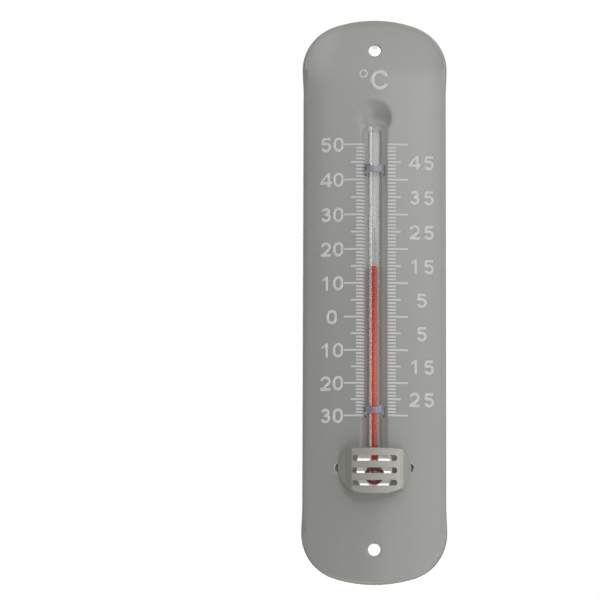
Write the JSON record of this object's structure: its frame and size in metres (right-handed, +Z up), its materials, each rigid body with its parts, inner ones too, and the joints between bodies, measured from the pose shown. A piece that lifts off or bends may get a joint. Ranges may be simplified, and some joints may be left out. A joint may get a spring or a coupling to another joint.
{
  "type": "wall thermometer",
  "caption": "Tall domed steel plate with a clipped red spirit tube in a pressed groove, a slotted bulb guard and a printed Celsius scale.",
  "frame": {"origin": "midway between the two screw holes, in the plane of the wall", "axes": "+Z up along the tube, +X to the right as seen from the front, +Y into the wall, so the front faces -Y"},
  "size_m": [0.075, 0.0167, 0.3],
  "materials": {
    "grey_paint": "semi-gloss warm grey paint on pressed steel",
    "guard_paint": "semi-gloss warm grey paint on bent steel",
    "clear_glass": "clear drawn glass",
    "opal_backing": "opal enamel behind the bore",
    "column_red": "red dyed spirit",
    "bulb_red": "red dyed spirit, deep",
    "clip_plastic": "clear plastic with a violet tint",
    "pale_ink": "printed pale grey ink"
  },
  "bodies": {
    "case": {"face_plate": "grey_paint", "glass_tube": "clear_glass", "opal_strip": "opal_backing", "bulb_spirit": "bulb_red", "bulb_guard": "guard_paint", "upper_tube_clip": "clip_plastic", "lower_tube_clip": "clip_plastic", "left_scale_ticks": "pale_ink", "right_scale_ticks": "pale_ink", "left_numerals": "pale_ink", "right_numerals": "pale_ink", "unit_mark": "pale_ink"},
    "column": {"spirit_column": "column_red"}
  },
  "joints": [
    {"name": "spirit_level", "type": "slide", "parent": "case", "child": "column", "axis": [0, 0, 1], "range_m": [-0.0791, 0.0649], "deforming": ["spirit_column"]}
  ]
}
